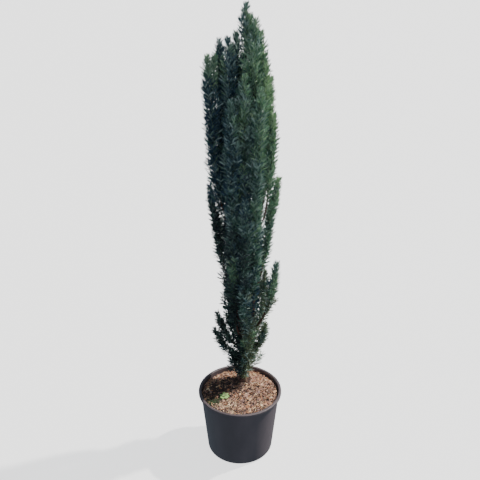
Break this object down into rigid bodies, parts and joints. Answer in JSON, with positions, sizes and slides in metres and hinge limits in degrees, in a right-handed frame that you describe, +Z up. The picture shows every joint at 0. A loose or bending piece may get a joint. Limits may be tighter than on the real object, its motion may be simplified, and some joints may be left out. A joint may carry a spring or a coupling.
{
  "type": "potted irish yew",
  "caption": "Young upright yew with steep leafy boughs in a slim dark green column, standing in a tapered round black nursery pot.",
  "frame": {"origin": "centre of the pot's flat underside, on the surface that it stands on", "axes": "+Z up along the pot's axis, +Y from the front that the picture shows to the back, +X to the right seen from that front"},
  "size_m": [0.26, 0.2888, 1.3456],
  "materials": {
    "pot": "black moulded plastic with a soft sheen, faintly scuffed",
    "potting_mix": "loose pinkish brown bark fibre and chips, dry on top",
    "bark": "thin reddish brown bark, finely ridged and flaking",
    "needles": "dark green waxy needles, paler and yellower at the tips and underneath"
  },
  "bodies": {
    "root": {"pot": "pot", "potting_mix": "potting_mix", "trunk": "bark", "second_stem": "bark", "bough_back_left": "bark", "bough_back_middle": "bark", "bough_back_right": "bark", "bough_front_left": "bark", "bough_front_middle": "bark", "bough_front_right": "bark", "bough_left_arm": "bark", "bough_left_inner": "bark", "bough_left_middle": "bark", "bough_left_outer": "bark", "bough_left_second": "bark", "bough_low_back": "bark", "bough_low_left": "bark", "bough_low_right": "bark", "bough_middle_front": "bark", "bough_middle_left": "bark", "bough_right_arm": "bark", "bough_right_bulge": "bark", "bough_right_inner": "bark", "bough_right_middle": "bark", "bough_right_side": "bark", "bough_right_twig": "bark", "needles_back_left": "needles", "needles_back_middle": "needles", "needles_back_right": "needles", "needles_foot_front": "needles", "needles_foot_left": "needles", "needles_foot_right": "needles", "needles_front_left": "needles", "needles_front_middle": "needles", "needles_front_right": "needles", "needles_left_arm": "needles", "needles_left_inner": "needles", "needles_left_middle": "needles", "needles_left_outer": "needles", "needles_left_second": "needles", "needles_low_back": "needles", "needles_low_front": "needles", "needles_low_left": "needles", "needles_low_right": "needles", "needles_low_side_left": "needles", "needles_low_twig_left": "needles", "needles_low_twig_right": "needles", "needles_middle_front": "needles", "needles_middle_left": "needles", "needles_right_arm": "needles", "needles_right_bulge": "needles", "needles_right_inner": "needles", "needles_right_middle": "needles", "needles_right_outer": "needles", "needles_right_side": "needles", "needles_right_twig": "needles", "needles_top": "needles"}
  },
  "joints": []
}
